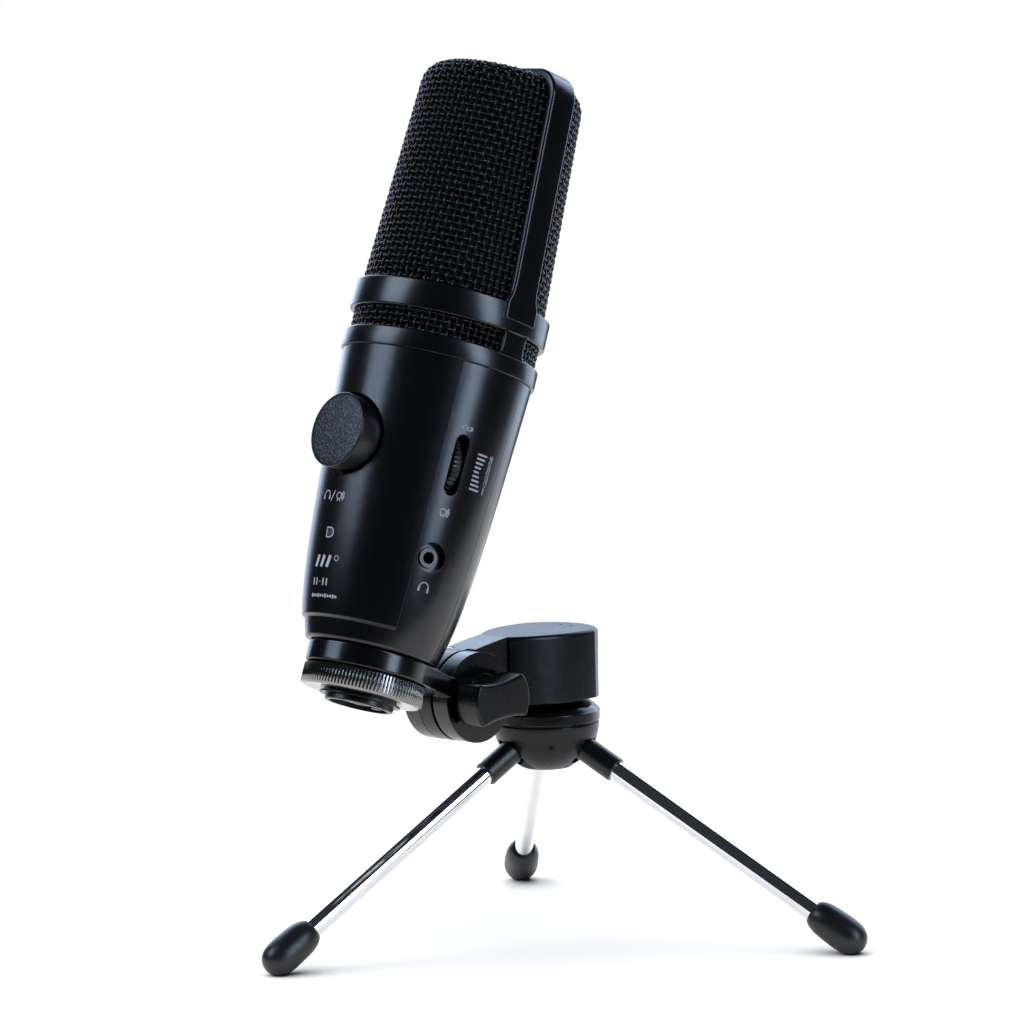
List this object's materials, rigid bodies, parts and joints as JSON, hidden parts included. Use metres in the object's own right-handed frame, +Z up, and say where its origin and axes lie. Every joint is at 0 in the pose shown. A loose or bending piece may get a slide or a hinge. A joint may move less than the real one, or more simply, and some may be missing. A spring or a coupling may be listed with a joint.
{
  "type": "desktop microphone",
  "caption": "Side-address desktop microphone with a woven head grille, mix knob, gain wheel and headphone socket, held by a ring and tilt hinge on a folding three-legged table stand.",
  "frame": {"origin": "point of the floor under the tripod's axis, midway between the three feet", "axes": "+Z up; the microphone's front faces -Y, its wheel and headphone side faces +X, its top leans back towards +Y"},
  "size_m": [0.1806, 0.1728, 0.2717],
  "materials": {
    "satin_body": "satin",
    "satin_frame": "satin",
    "grille_wire": "satin",
    "fine_mesh": "matte",
    "knob_metal": "satin",
    "knob_face": "textured",
    "ring_plastic": "gloss",
    "knurled_nickel": "satin",
    "stub_metal": "satin",
    "bright_plate": "brushed",
    "black_oxide": "satin",
    "steel": "satin",
    "socket_shell": "satin",
    "grained_plastic": "fine grain",
    "gloss_cap": "gloss",
    "sleeve_plastic": "fine grain",
    "leg_chrome": "polished",
    "foot_rubber": "satin",
    "wheel_plastic": "satin",
    "jack_plastic": "gloss",
    "board": "solder mask",
    "black_plastic": "matte",
    "brass": "turned",
    "gold_film": "gloss",
    "cradle_rubber": "matte",
    "lens": "clear",
    "nylon": "satin"
  },
  "bodies": {
    "tripod_hub": {"hub_body": "grained_plastic", "hub_cap": "gloss_cap", "thrust_washer": "nylon", "stand_stud": "steel", "stud_screw": "steel", "hub_grub_screws": "black_oxide", "leg_pins": "steel"},
    "leg_1": {"leg_sleeve_1": "sleeve_plastic", "leg_tube_1": "leg_chrome", "foot_1": "foot_rubber"},
    "leg_2": {"leg_sleeve_2": "sleeve_plastic", "leg_tube_2": "leg_chrome", "foot_2": "foot_rubber"},
    "leg_3": {"leg_sleeve_3": "sleeve_plastic", "leg_tube_3": "leg_chrome", "foot_3": "foot_rubber"},
    "swivel": {"swivel_block": "grained_plastic", "block_insert": "brass"},
    "arm": {"stand_ring": "ring_plastic", "hinge_nut": "steel", "tooth_washer": "steel"},
    "wing_screw": {"wing_knob": "grained_plastic", "hinge_bolt": "steel"},
    "clamp_nut": {"ring_nut": "knurled_nickel"},
    "mix_control": {"mix_knob": "knob_metal", "mix_knob_cap": "knob_face", "mix_shaft": "steel"},
    "gain_control": {"gain_wheel": "wheel_plastic", "gain_shaft": "steel"},
    "microphone": {"base_stub": "stub_metal", "board_header": "black_plastic", "body_front": "satin_body", "body_rear": "satin_body", "bottom_plate": "bright_plate", "bottom_screws": "steel", "capsule_backplate": "brass", "capsule_cradle": "cradle_rubber", "capsule_diaphragm": "gold_film", "capsule_housing": "brass", "control_board": "board", "flange_ring": "stub_metal", "front_grille": "grille_wire", "gain_pot": "black_plastic", "grille_liner": "fine_mesh", "head_deck": "black_plastic", "head_frame": "satin_frame", "head_screws": "steel", "headphone_jack": "jack_plastic", "led_lens": "lens", "lower_grille": "grille_wire", "main_board": "board", "mix_pot": "black_plastic", "mix_pot_nut": "steel", "rear_grille": "grille_wire", "screw_lugs": "black_plastic", "stub_screws": "steel", "usb_board": "board", "usb_socket": "socket_shell"}
  },
  "joints": [
    {"name": "leg_1_fold", "type": "hinge", "parent": "tripod_hub", "child": "leg_1", "pos_m": [-0.002, -0.01132, 0.05986], "axis": [0.9848, -0.1736, 0], "range_deg": [0, 55]},
    {"name": "leg_2_fold", "type": "hinge", "parent": "tripod_hub", "child": "leg_2", "pos_m": [0.01081, 0.00393, 0.05986], "axis": [-0.342, 0.9397, 0], "range_deg": [0, 55]},
    {"name": "leg_3_fold", "type": "hinge", "parent": "tripod_hub", "child": "leg_3", "pos_m": [-0.00881, 0.00739, 0.05986], "axis": [-0.6428, -0.766, 0], "range_deg": [0, 55]},
    {"name": "swivel_turn", "type": "hinge", "parent": "tripod_hub", "child": "swivel", "pos_m": [0, 0, 0.07476], "axis": [0, 0, 1], "range_deg": [-180, 180]},
    {"name": "tilt", "type": "hinge", "parent": "swivel", "child": "arm", "pos_m": [0, -0.038, 0.07936], "axis": [1, 0, 0], "range_deg": [-40, 60]},
    {"name": "ring_turn", "type": "hinge", "parent": "arm", "child": "microphone", "pos_m": [0, -0.07507, 0.093], "axis": [0, 0.3453, 0.9385], "continuous": true},
    {"name": "wing_turn", "type": "hinge", "parent": "arm", "child": "wing_screw", "pos_m": [0, -0.038, 0.07936], "axis": [1, 0, 0], "range_deg": [0, 360]},
    {"name": "clamp_nut_turn", "type": "hinge", "parent": "microphone", "child": "clamp_nut", "pos_m": [0, -0.07856, 0.08352], "axis": [0, 0.3453, 0.9385], "range_deg": [-200, 0]},
    {"name": "mix_knob_turn", "type": "hinge", "parent": "microphone", "child": "mix_control", "pos_m": [-0.00227, -0.08355, 0.16399], "axis": [-0.0698, -0.9362, 0.3445], "range_deg": [-150, 150]},
    {"name": "gain_wheel_turn", "type": "hinge", "parent": "microphone", "child": "gain_control", "pos_m": [0.01625, -0.05871, 0.15187], "axis": [0.2924, 0.8975, -0.3302], "range_deg": [-135, 135]}
  ]
}
